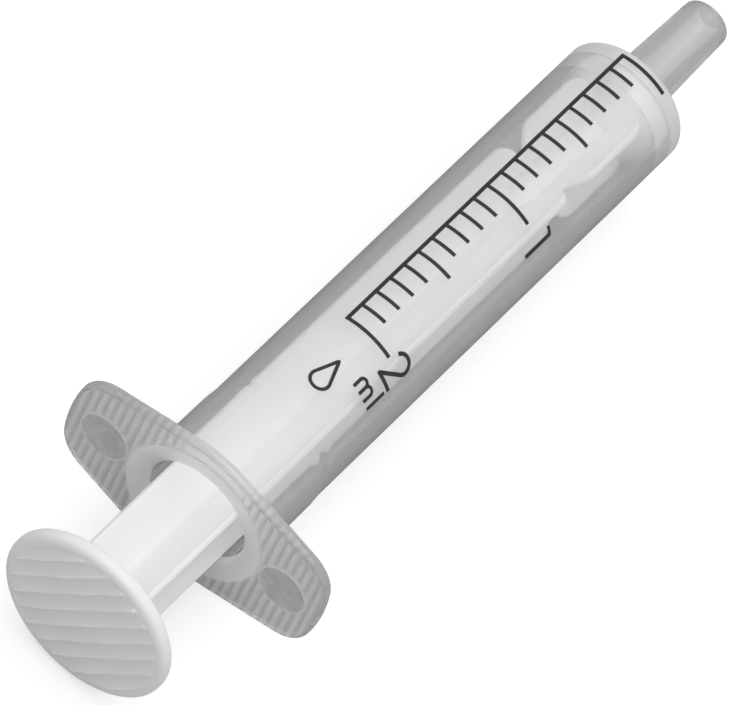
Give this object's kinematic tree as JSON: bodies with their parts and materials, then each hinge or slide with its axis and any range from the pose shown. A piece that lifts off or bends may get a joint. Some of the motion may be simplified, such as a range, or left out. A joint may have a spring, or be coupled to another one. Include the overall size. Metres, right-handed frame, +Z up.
{
  "type": "two-piece oral dosing syringe",
  "caption": "Small clear dosing syringe with a tapered slip nozzle, a winged finger flange and a white cross-ribbed plunger that slides in a printed barrel.",
  "frame": {"origin": "under the middle of the whole syringe, on the surface that the finger flange rests on, with the plunger pushed fully home", "axes": "+X along the syringe toward the nozzle, +Y along one wing of the finger flange, +Z up, with the printed scale on top"},
  "size_m": [0.0756, 0.0238, 0.0148],
  "materials": {
    "clear_barrel": "clear moulded polypropylene, glossy, faint haze",
    "white_plunger": "white moulded polyethylene, satin",
    "print_ink": "black pad-printed ink, satin"
  },
  "bodies": {
    "barrel_body": {"barrel": "clear_barrel", "scale_lines": "print_ink", "numeral_1": "print_ink", "numeral_2": "print_ink", "unit_m": "print_ink", "unit_l": "print_ink", "drop_mark": "print_ink"},
    "plunger_body": {"plunger": "white_plunger"}
  },
  "joints": [
    {"name": "plunger_slide", "type": "slide", "parent": "barrel_body", "child": "plunger_body", "axis": [-1, 0, 0], "range_m": [0, 0.0395]}
  ]
}
